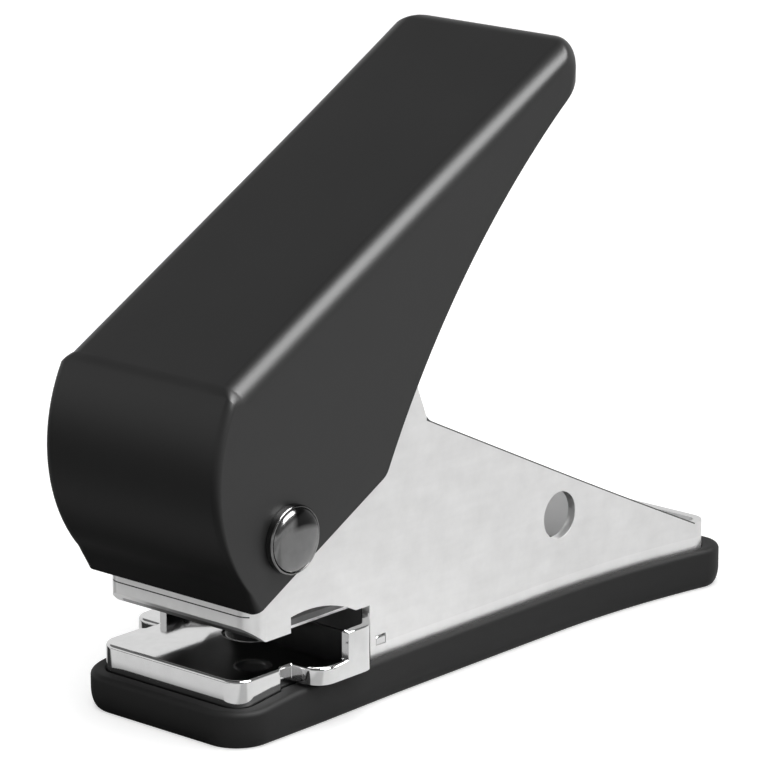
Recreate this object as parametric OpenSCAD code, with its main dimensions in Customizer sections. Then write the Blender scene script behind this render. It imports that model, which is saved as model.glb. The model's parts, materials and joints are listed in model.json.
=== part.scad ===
// Hand punch for dart flights: a pressed lever drives a round punch through the
// flight into a die, and the chips fall into a base that pulls off.
// Y = 0 is the punch's axis, -Y is the front, and Z = 0 is the table.

/* [Sheet] */
// Thickness of the frame's steel sheet
sheet_t = 1.2; // [0.9:0.1:1.4]
// Thickness of the lever's steel sheet
lever_t = 1.2; // [0.9:0.1:1.5]

/* [Frame] */
// Width across the frame's side walls
frame_w = 25.5; // [24:0.5:27]
// Punch axis to the face of the front band
frame_front = 13.6; // [13:0.2:15]
// Punch axis to the face of the rear wall
frame_back = 74.6; // [68:0.2:90]
// Outer radius of the front bends
bend_r = 2.6; // [2:0.1:3.5]
// Outer radius of the rear bends
rear_bend_r = 2.4; // [2:0.1:3.4]
// Where the walls start to spread towards the rear
flare_y = 44; // [40:0.5:50]
// Radius of the curve in which they spread, seen from above
flare_r = 148; // [120:1:200]
// Height of the frame's peak, which stops the lever
peak_z = 43.6; // [40:0.2:44]
// Height of the bend between the peak and the long slope
shoulder_z = 34.8; // [32:0.1:37]
// Punch axis to that bend
shoulder_y = 18.9; // [18:0.1:22]
// Lean of the short edge above that bend
shoulder_lean = 16.5; // [10:0.5:24]
// Height of the rear wall
tail_z = 9.4; // [7.5:0.1:11]
// Length of the level top behind the long slope
tail_flat = 3; // [2:0.2:6]
// Radius of the concave corner at that bend
shoulder_r = 2.5; // [1.5:0.1:4]
// Radius of the rear cross hole
hole_r = 3.2; // [2:0.1:3.5]
// Punch axis to the rear cross hole
hole_y = 45.6; // [40:0.2:45.8]
// Height of the rear cross hole
hole_z = 16; // [14:0.2:18]

/* [Upper jaw] */
// Height of the upper jaw's underside
jaw_z = 12.8; // [12.6:0.1:13.4]
// Height of the front band's lower edge
chin_z = 14.7; // [14.2:0.1:15.4]
// Punch axis to the back of the sloping chin
chin_y = 11.2; // [10.5:0.1:11.8]
// Height of the front band's upper edge
band_top = 20.4; // [18:0.2:20.8]
// Punch axis to the front of the arched window
window_front = 6.6; // [5.5:0.1:7.5]
// Height of the arched window's top
window_top = 15.1; // [14.4:0.1:15.8]
// Radius of the arched window's top
window_r = 18.8; // [14:0.2:24]
// Distance of the arch's highest point in front of the punch axis
window_peak = 3.6; // [2:0.1:4.5]

/* [Lower jaw] */
// Height of the lower jaw's top
die_z = 8.4; // [8:0.1:8.6]
// Width of the lower jaw at the front
die_w = 24.4; // [22:0.2:24.8]
// Punch axis to the lower jaw's front
die_front = 15.5; // [14.6:0.1:16.5]
// Corner radius of the lower jaw
die_r = 2.6; // [2:0.1:4]
// Width across the two side bulges
bulge_w = 32.8; // [30:0.2:34]
// Where the bulges end behind the punch axis
bulge_back = 4.1; // [3:0.1:4.4]
// Where the bulges start in front of the punch axis
bulge_front = 5.4; // [4:0.1:6]
// Corner radius of the bulges
bulge_r = 2.6; // [2:0.1:3.2]
// Depth of the bulges' edge below the lower jaw's top
bulge_h = 2.3; // [1.8:0.1:2.3]
// Depth of the narrow waist ahead of each bulge
waist_d = 0.5; // [0.2:0.1:0.8]
// Length of that waist
waist_l = 2.6; // [1.5:0.1:4]
// Height of the upright ears above the lower jaw
ear_h = 3.7; // [2:0.1:3.9]
// Punch axis to the front edge of the ears
ear_y = 0; // [-1:0.1:1.5]
// Punch axis to the end of the throat
throat_end = 8; // [7.4:0.1:9]

/* [Lever] */
// Room between the frame's walls and the lever's sides
side_room = 0.85; // [0.7:0.05:2]
// Angle of the lever's top above level, at rest
lever_angle = 28; // [24:1:30]
// Turn of the lever from rest to its stop
lever_travel = 34; // [28:1:34]
// Pivot to the lever's top
lever_top = 22.3; // [21:0.1:24]
// Pivot to the rear end, along the top
lever_back = 74.9; // [66:0.2:84]
// Depth of the skirts below the pivot
skirt_drop = 4.8; // [4:0.1:5]
// Radius of the nose
nose_r = 21.6; // [20:0.2:30]
// Reach of the nose in front of the pivot, along the top
nose_reach = 9.7; // [9.2:0.1:12]
// Height of the nose's centre over the pivot, square to the top
nose_rise = 3.6; // [2.6:0.1:4.6]
// Height of the straight lip under the nose
nose_lip = 4; // [3:0.1:4.6]
// Radius of the fold between the nose and the top
fold_r = 3; // [2:0.5:6]
// Radius of the nose's upright edges
nose_edge_r = 1.4; // [1.4:0.1:3]
// Radius of the lever's long edges
edge_r = 2.8; // [2.2:0.1:4]
// Corner radius of the rear end, seen from above
tail_r = 7; // [4.5:0.1:8]
// Spread of each of the lever's sides at the rear end
tail_spread = 0.4; // [0.1:0.1:0.8]
// Radius of the curve that the skirts follow to the rear
skirt_r = 124.3; // [118:0.5:130]
// Distance of that curve's centre behind the rear end
skirt_reach = 15; // [10:0.2:22]
// Depth of the skirts at the rear end
skirt_tail = 4.9; // [4.6:0.1:7]
// Radius of the corner where the skirts turn up
skirt_corner_r = 2.5; // [1.5:0.5:6]

/* [Pivot] */
// Height of the pivot
pivot_z = 26; // [25.6:0.1:27]
// Radius of the rivet's shank
rivet_r = 2.2; // [1.8:0.1:2.4]
// Radius of the rivet's heads
rivet_head_r = 4.4; // [3.4:0.05:4.6]
// Height of the domes on the rivet's heads
rivet_head_h = 1.1; // [0.8:0.1:2]
// Height of the rims under those domes
rivet_rim_h = 1; // [0.3:0.1:1.2]
// Outer radius of the spacer tube
spacer_r = 3; // [2.8:0.1:3.2]
// Outer radius of the thin washers
washer_r = 4; // [3.6:0.1:4.3]

/* [Punch] */
// Pivot to the press pin
press_arm = 9.1; // [8.8:0.1:9.6]
// Radius of the press pin
press_r = 2; // [1.6:0.1:2.2]
// Radius of the punch
punch_r = 1.5; // [1:0.1:1.8]
// Radius of the punch's head
head_r = 2.8; // [2.4:0.1:3.2]
// Thickness of the punch's head
head_t = 1.3; // [1:0.1:1.5]
// Radius of the spring's collar and seat
collar_r = 4; // [3.8:0.1:4.2]
// Thickness of the spring's collar
collar_t = 1; // [0.8:0.1:1.2]
// Thickness of the spring's seat
seat_t = 0.6; // [0.4:0.1:0.8]
// Outer radius of the guide bush
bush_r = 2.4; // [2.2:0.1:2.5]
// Height of the guide bush above the jaw plate's flange
bush_h = 1.6; // [1:0.1:2]
// Thickness of the bushes' flanges
flange_t = 1; // [0.8:0.1:1.2]
// Outer radius of the die bush
die_bush_r = 3.5; // [3:0.1:3.8]
// Radius of the spring's wire
wire_r = 0.3; // [0.25:0.01:0.32]
// Radius to the middle of the spring's wire
coil_r = 3; // [3:0.05:3.2]
// Number of the spring's curls
curls = 4; // [3:1:4]

/* [Yoke] */
// Gap between the yoke's cheeks
yoke_gap = 9.4; // [9.2:0.1:10]
// Radius of the yoke round the pivot
yoke_eye_r = 4.6; // [4.2:0.1:4.8]
// Radius of the yoke round the press pin
yoke_nose_r = 4; // [3.4:0.1:4.4]
// Length of the yoke's top web
yoke_l = 17; // [14:0.5:20]
// Thickness of the clips on the press pin
clip_t = 0.8; // [0.6:0.1:1]
// Radius of the clips on the press pin
clip_r = 3.4; // [2.8:0.1:3.6]
// Width of the up stops on the yoke
toe_w = 2; // [1.4:0.1:2.4]

/* [Base] */
// Height of the base's rim along the frame
rim_z = 5.7; // [5.2:0.1:5.9]
// Height of the base's rim at the front
rim_front_z = 5.1; // [4.8:0.1:5.4]
// Thickness of the base's floor
floor_t = 1.5; // [1.2:0.1:1.6]
// Width of the base at the front
base_w = 28.8; // [28.2:0.2:31]
// Width of the base's rim round the frame
rim_w = 1.3; // [1.2:0.1:2]
// Rim in front of the lower jaw
rim_lip = 2.3; // [1.8:0.1:3]
// Corner radius of the base at the front
base_r = 5.4; // [5:0.1:7]
// Rim behind the frame
tail_lip = 3; // [1.6:0.1:4]
// Radius of the base's rear corners
base_tail_r = 4; // [3.4:0.1:5]
// Radius of the base's upper edge
rim_r = 1; // [0.6:0.1:1.1]
// How far the base's foot is drawn in
foot_in = 1.1; // [0.8:0.1:2]
// Height over which it is drawn in
foot_h = 2.6; // [2:0.1:4]

/* [Hidden] */
$fn = 48;

// Clearances, and how far a cut runs past what it cuts
run_gap = 0.05;
seat_gap = 0.02;
lay_gap = 0.1;
tray_gap = 0.2;
over = 1;

// Shares used by the outlines
peak_share = 0.55;
foot_share = 1.2;

// Places that follow from the sizes above
half_w = frame_w / 2;
lever_w = frame_w + 2 * (side_room + lever_t);
inner_w = frame_w - 2 * sheet_t;
pivot_y = -press_arm * (1 + cos(lever_travel / 2)) / 2;
stroke = 2 * press_arm * sin(lever_travel / 2);
press_angle = lever_travel / 2 - lever_angle;
frame_z = floor_t + lay_gap;
tail_y = frame_back - tail_flat;
far_x = base_w;

// Points on an arc about a centre, from one angle to another
function arc(c, r, a0, a1, n = 8) =
    [for (i = [0 : n]) c + r * [cos(a0 + (a1 - a0) * i / n), sin(a0 + (a1 - a0) * i / n)]];

// The other half of an outline that is drawn on its +X side
function mirrored(pts) = [for (i = [len(pts) - 1 : -1 : 0]) [-pts[i][0], pts[i][1]]];
function both_halves(pts) = concat(pts, mirrored(pts));

// A side view, drawn as Y and Z, made solid between two places on X
module across(x0, x1) {
    translate([x0, 0, 0])
        rotate([90, 0, 90])
            linear_extrude(x1 - x0)
                children();
}

// A cylinder along X between two places
module rod(r, x0, x1, y = 0, z = 0) {
    translate([x0, y, z])
        rotate([0, 90, 0])
            cylinder(r = r, h = x1 - x0);
}

// What is drawn level with the lever's top, put at the pivot
module at_lever() {
    translate([0, pivot_y, pivot_z])
        rotate([lever_angle, 0, 0])
            children();
}

// A smooth solid through rings of points, each ring with two like halves
module loft(rings) {
    n = len(rings[0]);
    top = (len(rings) - 1) * n;
    sides = [for (j = [0 : len(rings) - 2], i = [0 : n - 1])
        let (a = j * n + i, b = a + n, d = j * n + (i + 1) % n, c = d + n)
            each (i % (n / 2) < n / 4 ? [[a, b, c], [a, c, d]] : [[a, b, d], [b, c, d]])];
    foot = [for (i = [0 : n / 2 - 2]) [i, i + 1, n - 2 - i, n - 1 - i]];
    cap = [for (f = foot) [f[3] + top, f[2] + top, f[1] + top, f[0] + top]];
    polyhedron([for (ring = rings) each ring], concat(sides, foot, cap));
}

// A spread side and a rear corner seen from above, out to a back and moved in by an inset
function flare_half(back, r, rim, inset) =
    let (side_r = flare_r - rim,
         turn = asin((back - r - flare_y) / (side_r + r)),
         corner = [half_w + flare_r - (side_r + r) * cos(turn), back - r])
    concat(arc([half_w + flare_r, flare_y], side_r + inset, 180, 180 - turn, 12),
           arc(corner, r - inset, -turn, 90));

// Frame: outline of the bent sheet seen from above
function frame_half(inset) = concat(
    arc([half_w - bend_r, bend_r - frame_front], bend_r - inset, -90, 0),
    flare_half(frame_back, rear_bend_r, 0, inset));

// Side view of the frame's walls, with the throat and the sloping chin
shoulder = [shoulder_y, shoulder_z];
slope_angle = atan2(tail_z - shoulder_z, tail_y - shoulder_y);
edge_angle = 90 + shoulder_lean;
corner_angle = (edge_angle + slope_angle) / 2;
corner_c = shoulder + shoulder_r / sin((edge_angle - slope_angle) / 2)
    * [cos(corner_angle), sin(corner_angle)];
edge_top = shoulder + (peak_z - shoulder_z) / cos(shoulder_lean)
    * [cos(edge_angle), sin(edge_angle)];

module frame_side() {
    polygon(concat(
        [[throat_end, frame_z], [throat_end, jaw_z], [-chin_y, jaw_z], [-frame_front, chin_z]],
        arc([bend_r - frame_front, pivot_z], bend_r, 180, 120, 4),
        [[edge_top[0] * peak_share - bend_r, peak_z - bend_r * peak_share]],
        arc([edge_top[0] - bend_r, peak_z - bend_r], bend_r, 90, shoulder_lean, 6),
        arc(corner_c, shoulder_r, edge_angle + 90, slope_angle + 270, 6),
        [[tail_y, tail_z], [frame_back + over, tail_z], [frame_back + over, frame_z]]));
}

module window() {
    intersection() {
        translate([-window_peak, window_top - window_r]) circle(r = window_r, $fn = 160);
        translate([-window_front, jaw_z - over])
            square([2 * window_front, window_top]);
    }
}

module frame_body() {
    color("gainsboro")
        difference() {
            intersection() {
                linear_extrude(peak_z + over)
                    difference() {
                        polygon(both_halves(frame_half(0)));
                        polygon(both_halves(frame_half(sheet_t)));
                    }
                across(-far_x, far_x) frame_side();
            }
            across(-half_w - over, half_w + over) window();
            rod(hole_r, -far_x, far_x, hole_y, hole_z);
            rod(rivet_r + seat_gap, -far_x, far_x, pivot_y, pivot_z);
            translate([bend_r - half_w, -frame_front - over, band_top])
                cube([frame_w - 2 * bend_r, bend_r + over, peak_z]);
            for (s = [-1, 1])
                translate([s * (half_w - sheet_t / 2), tab_y + tab_l / 2, die_z - sheet_t / 2])
                    cube([sheet_t + over, tab_l + lay_gap, sheet_t + lay_gap], center = true);
        }
}

// Lower jaw: front outline with its waist, and the outline of the side bulges
tab_y = throat_end + sheet_t;
tab_l = 1.5 * sheet_t;
lap_l = 5 * sheet_t;
jaw_end = throat_end - lay_gap;

function die_half(inset) = concat(
    arc([die_w / 2 - die_r, die_r - die_front], die_r - inset, -90, 0),
    [[die_w / 2 - inset, -bulge_front - waist_l],
     [die_w / 2 - waist_d - inset, waist_d - bulge_front - waist_l],
     [die_w / 2 - waist_d - inset, jaw_end - inset]]);

// The bulges lean back in to the walls behind the ears
lean = atan2(jaw_end - bulge_back, bulge_w / 2 - half_w);
function bulge_half(inset) = concat(
    [[0, inset - bulge_front], [die_w / 2 - waist_d, inset - bulge_front]],
    arc([bulge_w / 2 - bulge_r, bulge_r - bulge_front], bulge_r - inset, -90, 0),
    arc([bulge_w / 2 - bulge_r, bulge_back - bulge_r * tan((90 - lean) / 2)],
        bulge_r - inset, 0, 90 - lean, 4),
    [[half_w - inset / sin(lean), jaw_end], [0, jaw_end]]);

module bulge_rim(z0, z1) {
    translate([0, 0, z0])
        linear_extrude(z1 - z0)
            difference() {
                polygon(both_halves(bulge_half(0)));
                polygon(both_halves(bulge_half(sheet_t)));
                translate([-die_w / 2 + sheet_t, -frame_front])
                    square([die_w - 2 * sheet_t, 2 * frame_front]);
            }
}

module die_channel() {
    color("silver")
        difference() {
            union() {
                translate([0, 0, frame_z])
                    linear_extrude(die_z - frame_z)
                        polygon(both_halves(die_half(0)));
                translate([0, 0, die_z - sheet_t])
                    linear_extrude(sheet_t)
                        polygon(both_halves(bulge_half(0)));
                bulge_rim(die_z - bulge_h, die_z);
                intersection() {
                    bulge_rim(die_z - sheet_t, die_z + ear_h);
                    translate([-bulge_w, ear_y, 0]) cube([2 * bulge_w, throat_end, jaw_z]);
                }
                translate([-inner_w / 2, 0, die_z - bulge_h])
                    cube([inner_w, throat_end + lap_l, bulge_h]);
                translate([-half_w, tab_y + lay_gap / 2, die_z - sheet_t])
                    cube([frame_w, tab_l - lay_gap, sheet_t]);
            }
            translate([0, 0, frame_z - over])
                linear_extrude(die_z - sheet_t - frame_z + over)
                    polygon(both_halves(die_half(sheet_t)));
            translate([sheet_t - inner_w / 2, 0, frame_z])
                cube([inner_w - 2 * sheet_t, throat_end + lap_l + over, die_z - sheet_t - frame_z]);
            cylinder(r = die_bush_r + seat_gap, h = die_z + over);
        }
}

// The room inside the frame's walls, with its rounded corners
module frame_room() {
    linear_extrude(peak_z)
        polygon(both_halves(frame_half(sheet_t)));
}

// Upper jaw: the plate between the walls, bent up to the front band
chin_lean = atan2(chin_z - jaw_z, frame_front - chin_y);
module jaw_plate() {
    band_in = frame_front - sheet_t;
    rise = (band_in - chin_y) * tan(chin_lean);
    knee = sheet_t * tan(chin_lean / 2);
    color("silver")
        difference() {
            intersection() {
                frame_room();
                across(-inner_w / 2, inner_w / 2)
                    polygon([[throat_end, jaw_z], [-chin_y, jaw_z], [-band_in, jaw_z + rise],
                        [-band_in, jaw_z + rise + sheet_t / cos(chin_lean)],
                        [knee - chin_y, jaw_z + sheet_t], [throat_end, jaw_z + sheet_t]]);
            }
            translate([0, 0, jaw_z - over])
                cylinder(r = bush_r + seat_gap, h = sheet_t + 2 * over);
        }
}

module flight_stop() {
    color("silver")
        translate([-inner_w / 2, throat_end, die_z])
            cube([inner_w, sheet_t, jaw_z + sheet_t - die_z]);
}

// Punch: heights worked out down from the press pin
plate_top = jaw_z + sheet_t;
punch_top = pivot_z + press_arm * sin(lever_travel / 2) - press_r - lay_gap;
collar_top = punch_top - head_t;
punch_tip = jaw_z + lay_gap;
seat_top = plate_top + flange_t + seat_t;

module guide_bush() {
    color("goldenrod")
        difference() {
            union() {
                translate([0, 0, jaw_z]) cylinder(r = bush_r, h = sheet_t + flange_t + bush_h);
                translate([0, 0, plate_top]) cylinder(r = collar_r, h = flange_t);
            }
            translate([0, 0, jaw_z - over]) cylinder(r = punch_r + run_gap, h = pivot_z);
        }
}

module die_bush() {
    color("slategray")
        difference() {
            union() {
                translate([0, 0, die_z - sheet_t]) cylinder(r = die_bush_r, h = sheet_t);
                translate([0, 0, die_z - sheet_t - flange_t])
                    cylinder(r = die_bush_r + flange_t, h = flange_t);
            }
            cylinder(r = punch_r + run_gap, h = die_z + over);
        }
}

module spring_seat() {
    color("silver")
        translate([0, 0, plate_top + flange_t])
            difference() {
                cylinder(r = collar_r, h = seat_t);
                translate([0, 0, -over]) cylinder(r = bush_r + run_gap, h = seat_t + 2 * over);
            }
}

module spring_collar() {
    color("silver")
        translate([0, 0, collar_top - collar_t])
            difference() {
                cylinder(r = collar_r, h = collar_t);
                translate([0, 0, -over]) cylinder(r = punch_r + seat_gap, h = collar_t + 2 * over);
            }
}

module punch_pin() {
    color("lightsteelblue") {
        translate([0, 0, punch_tip]) cylinder(r = punch_r, h = punch_top - punch_tip);
        translate([0, 0, collar_top]) cylinder(r = head_r, h = head_t);
    }
}

// Return spring: one tube along a coil whose end turns lie flat
spring_foot = seat_top + wire_r;
spring_rise = collar_top - collar_t - wire_r - spring_foot;
turns = curls + 1;
rings = 8 * turns;
sides = 6;
function coil_z(t) = spring_foot
    + spring_rise * min(1, max(0, (t * turns - 0.5) / curls));
function coil_at(i) = [coil_r * cos(360 * turns * i / rings),
                       coil_r * sin(360 * turns * i / rings), coil_z(i / rings)];
function wire_at(i, j) = let (a = 360 * turns * i / rings, b = 360 * j / sides)
    coil_at(i) + wire_r * [cos(a) * cos(b), sin(a) * cos(b), sin(b)];

module return_spring() {
    color("dimgray")
        polyhedron(
            [for (i = [0 : rings], j = [0 : sides - 1]) wire_at(i, j)],
            concat(
                [[for (j = [sides - 1 : -1 : 0]) j], [for (j = [0 : sides - 1]) rings * sides + j]],
                [for (i = [0 : rings - 1], j = [0 : sides - 1])
                    each [[i * sides + j, i * sides + (j + 1) % sides, (i + 1) * sides + j],
                          [i * sides + (j + 1) % sides, (i + 1) * sides + (j + 1) % sides,
                           (i + 1) * sides + j]]]));
}
least_gap = min([for (i = [0 : rings], k = [0 : rings])
    if (k - i > 5) norm(coil_at(i) - coil_at(k)) - 2 * wire_r]);
echo(spring_least_gap = least_gap);

// Lever: drawn with Y along its top and Z square to it, from the pivot
nose_c = [nose_r - nose_reach, nose_rise];
fold_turn = acos((lever_top - fold_r - nose_rise) / (nose_r - fold_r));
fold_c = nose_c + (nose_r - fold_r) * [cos(90 + fold_turn), sin(90 + fold_turn)];
skirt_c = [lever_back + skirt_reach,
           lever_top - skirt_tail - sqrt(pow(skirt_r, 2) - pow(skirt_reach, 2))];
corner_u = skirt_c[0] - sqrt(pow(skirt_r + skirt_corner_r, 2)
    - pow(skirt_corner_r - skirt_drop - skirt_c[1], 2));
corner_k = [corner_u, skirt_corner_r - skirt_drop];
turn_k = atan2(corner_k[1] - skirt_c[1], corner_k[0] - skirt_c[0]);

// Height of the skirts' edge at a place along the lever
corner_end = corner_k[0] - skirt_corner_r * cos(turn_k);
function skirt_at(u) =
    u < corner_k[0] ? -skirt_drop :
    u < corner_end ? corner_k[1] - sqrt(pow(skirt_corner_r, 2) - pow(u - corner_k[0], 2)) :
    skirt_c[1] + sqrt(pow(skirt_r, 2) - pow(u - skirt_c[0], 2));

// Middle line of the lever's outside: lip, nose, fold, top and rear end
tail_c = [lever_back - edge_r, lever_top - edge_r];
tail_foot = lever_back - tail_r * foot_share;
lip_turn = 180 + asin((skirt_drop + nose_rise - nose_lip) / nose_r);
lip_u = nose_c[0] + nose_r * cos(lip_turn);
nose_foot = lip_u + nose_edge_r * foot_share;
foot_step = lever_t / 4;
nose_steps = 6;
fold_steps = 4;
tail_steps = 4;
function run(a, b, n) = [for (i = [1 : n]) a + (b - a) * i / n];
tops = concat(run(fold_c[0], corner_k[0], 4), run(corner_k[0], corner_end, 5),
    run(corner_end, tail_foot - (tail_steps + 2) * foot_step, 14));
function lever_spine(inset) = concat(
    [[lip_u + inset, -skirt_drop]],
    arc(nose_c, nose_r - inset, lip_turn, 90 + fold_turn, nose_steps),
    [for (i = [1 : fold_steps]) let (a = 90 + fold_turn * (1 - i / fold_steps))
        fold_c + (fold_r - inset) * [cos(a), sin(a)]],
    [for (u = tops) [u, lever_top - inset]],
    arc(tail_c, edge_r - inset, 90, 0, tail_steps),
    [[lever_back - inset, skirt_at(lever_back)]]);

// The place on the skirts' edge that lies below each place on that line
function skirt_line() = [for (u = concat(
    [nose_foot],
    run(nose_foot, fold_c[0], nose_steps + fold_steps + 1),
    tops,
    [for (i = [tail_steps + 1 : -1 : 0]) tail_foot - i * foot_step])) [u, skirt_at(u)]];

// Half of one section: from the skirt's edge up its side and round the long edge
function leg(a, b, r, w) = let (d = (b - a) / norm(b - a)) concat(
    [[w, b[0], b[1]]],
    [for (k = [0 : 5]) let (p = a + d * r * (1 - sin(18 * k)))
        [w - r + r * cos(18 * k), p[0], p[1]]]);
function flip_x(pts) = [for (p = pts) [-p[0], p[1], p[2]]];
function backward(pts) = [for (i = [len(pts) - 1 : -1 : 0]) pts[i]];

module lever_shell() {
    outside = lever_spine(0);
    inside = lever_spine(lever_t);
    edge = skirt_line();
    last = len(edge) - 1;
    color([0.13, 0.13, 0.13])
        at_lever()
            difference() {
                loft([for (i = [0 : last])
                    let (t = max(0, i - last + tail_steps + 1) / (tail_steps + 1),
                         q = min(1, max(0, (i - nose_steps - 1) / fold_steps)),
                         r = nose_edge_r + (edge_r - nose_edge_r) * q + (tail_r - edge_r) * t,
                         w = lever_w / 2 + tail_spread * pow(max(0, edge[i][0] / lever_back), 2),
                         skin = leg(outside[i], edge[i], r, w),
                         lining = leg(inside[i], edge[i], r - lever_t, w - lever_t))
                    concat(flip_x(lining), backward(lining), skin, backward(flip_x(skin)))]);
                rod(rivet_r + run_gap, -lever_w, lever_w);
            }
}

// Yoke inside the lever: two cheeks under one web, with the toes that stop it
press_at = press_arm * [cos(press_angle), sin(press_angle)];
web_z = lever_top - lever_t - seat_gap;
yoke_half = yoke_gap / 2 + sheet_t;
press_half = yoke_half + 3 * clip_t;

module yoke_side() {
    difference() {
        union() {
            circle(r = yoke_eye_r);
            translate(press_at) circle(r = yoke_nose_r);
            polygon([[-yoke_eye_r, 0], [0, -yoke_eye_r], [press_at[0], press_at[1] - yoke_nose_r],
                [press_at[0] + yoke_nose_r, press_at[1]], [yoke_l - yoke_eye_r, web_z],
                [fold_c[0], web_z]]);
            rotate(-lever_angle)
                translate([-pivot_y, -pivot_z])
                    polygon([[seat_gap - frame_front, band_top + seat_gap],
                        [toe_w - frame_front, band_top + seat_gap],
                        [pivot_y, pivot_z - (spacer_r + yoke_eye_r) / 2], [pivot_y, pivot_z],
                        [seat_gap - frame_front, pivot_z]]);
        }
        circle(r = spacer_r + run_gap);
        translate(press_at) circle(r = press_r + seat_gap);
    }
}

module press_yoke() {
    color("darkgray")
        at_lever()
            difference() {
                across(-yoke_half, yoke_half) yoke_side();
                across(-yoke_gap / 2, yoke_gap / 2)
                    translate([-2 * yoke_l, -2 * yoke_l])
                        square([4 * yoke_l, 2 * yoke_l + web_z - sheet_t]);
            }
}

module press_pin() {
    color("lightsteelblue")
        at_lever()
            rod(press_r, -press_half, press_half, press_at[0], press_at[1]);
}
module press_pin_clips() {
    color("dimgray")
        at_lever()
            for (s = [-1, 1])
                difference() {
                    rod(clip_r, s * (yoke_half + clip_t) - clip_t / 2,
                        s * (yoke_half + clip_t) + clip_t / 2, press_at[0], press_at[1]);
                    rod(press_r + seat_gap, -lever_w, lever_w, press_at[0], press_at[1]);
                }
}

// Pivot: one rivet with a domed head at each end, in a spacer tube
head_x = lever_w / 2 + run_gap;
dome_r = (pow(rivet_head_r, 2) + pow(rivet_head_h, 2)) / (2 * rivet_head_h);
rivet_side = concat([[0, 0], [rivet_r, 0], [rivet_r, head_x], [rivet_head_r, head_x]],
    arc([0, head_x + rivet_rim_h + rivet_head_h - dome_r], dome_r,
        acos(rivet_head_r / dome_r), 90));
module pivot_rivet() {
    color("silver")
        translate([0, pivot_y, pivot_z])
            for (s = [-90, 90])
                rotate([0, s, 0])
                    rotate_extrude() polygon(rivet_side);
}

module pivot_spacer() {
    color("silver")
        intersection() {
            frame_room();
            translate([0, pivot_y, pivot_z])
                difference() {
                    rod(spacer_r, -inner_w / 2, inner_w / 2);
                    rod(rivet_r + seat_gap, -frame_w, frame_w);
                }
        }
}

washer_gap = 0.03;
washer_t = side_room - 2 * washer_gap;
module pivot_washers() {
    color("white")
        translate([0, pivot_y, pivot_z])
            for (s = [-1, 1])
                difference() {
                    rod(washer_r, min(s * (half_w + washer_gap), s * (half_w + washer_gap + washer_t)),
                        max(s * (half_w + washer_gap), s * (half_w + washer_gap + washer_t)));
                    rod(rivet_r + seat_gap, -lever_w, lever_w);
                }
}

// Base: outline seen from above, moved in by an inset
base_front = die_front + rim_lip;
function blend(a, b, t) = a + (b - a) * (1 - cos(180 * t)) / 2;
function base_half(inset) = concat(
    arc([base_w / 2 - base_r, base_r - base_front], base_r - inset, -90, 0),
    [for (i = [0 : 6]) [blend(base_w / 2, half_w + rim_w, i / 6) - inset,
                        -bulge_front + (2 * throat_end + bulge_front) * i / 6]],
    flare_half(frame_back + tail_lip, base_tail_r, rim_w, inset));

// How far the rim lies below its full height at a place on Y
function rim_drop(y) = let (t = min(1, max(0, (y + die_front) / (die_front - bulge_front))))
    blend(rim_z - rim_front_z, 0, t);
function ring(inset, z, drop = 0) =
    [for (p = both_halves(base_half(inset))) [p[0], p[1], z - drop * rim_drop(p[1])]];

module base_tray() {
    steps = 4;
    color([0.16, 0.16, 0.16])
        difference() {
            loft(concat(
                [for (i = [0 : steps]) let (a = 90 * i / steps)
                    ring(foot_in * (1 - sin(a)), foot_h * (1 - cos(a)))],
                [for (i = [0 : steps]) let (a = 90 * i / steps)
                    ring(rim_r * (1 - cos(a)), rim_z - rim_r * (1 - sin(a)), 1)]));
            translate([0, 0, floor_t]) linear_extrude(rim_z) {
                polygon(both_halves(die_half(-tray_gap)));
                intersection() {
                    polygon(both_halves(frame_half(-tray_gap)));
                    translate([-far_x, throat_end - tray_gap])
                        square([2 * far_x, 2 * frame_back]);
                }
            }
        }
}

frame_body();
die_channel();
jaw_plate();
flight_stop();
guide_bush();
die_bush();
spring_seat();
return_spring();
spring_collar();
punch_pin();
lever_shell();
press_yoke();
press_pin();
press_pin_clips();
pivot_rivet();
pivot_spacer();
pivot_washers();
base_tray();
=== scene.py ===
# Dart flight punch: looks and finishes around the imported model, in metres.
import json
import math

import bmesh
import bpy
from mathutils import Matrix, Vector


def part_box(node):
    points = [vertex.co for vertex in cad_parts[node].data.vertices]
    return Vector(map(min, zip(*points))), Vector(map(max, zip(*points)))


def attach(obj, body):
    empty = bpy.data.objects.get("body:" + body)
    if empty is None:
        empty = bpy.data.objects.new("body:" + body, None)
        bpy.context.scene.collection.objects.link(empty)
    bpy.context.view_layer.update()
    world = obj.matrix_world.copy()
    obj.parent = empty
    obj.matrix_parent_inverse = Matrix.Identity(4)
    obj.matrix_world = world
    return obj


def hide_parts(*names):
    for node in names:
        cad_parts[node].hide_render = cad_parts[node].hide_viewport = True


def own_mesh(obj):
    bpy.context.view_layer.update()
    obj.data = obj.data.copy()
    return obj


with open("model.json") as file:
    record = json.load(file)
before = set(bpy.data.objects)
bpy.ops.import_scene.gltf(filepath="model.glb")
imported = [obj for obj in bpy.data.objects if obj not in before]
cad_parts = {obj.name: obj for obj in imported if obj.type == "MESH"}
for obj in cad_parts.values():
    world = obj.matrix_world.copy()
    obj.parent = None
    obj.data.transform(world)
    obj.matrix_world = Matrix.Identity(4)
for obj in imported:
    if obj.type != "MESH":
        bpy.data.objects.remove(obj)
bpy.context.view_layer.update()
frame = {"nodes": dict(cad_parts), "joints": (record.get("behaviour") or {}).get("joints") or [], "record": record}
mm = 0.001
joints = {joint["name"]: joint for joint in frame["joints"]}
hingePlace = Vector(joints["lever_press"]["pos_m"])
print("frame loaded")


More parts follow.
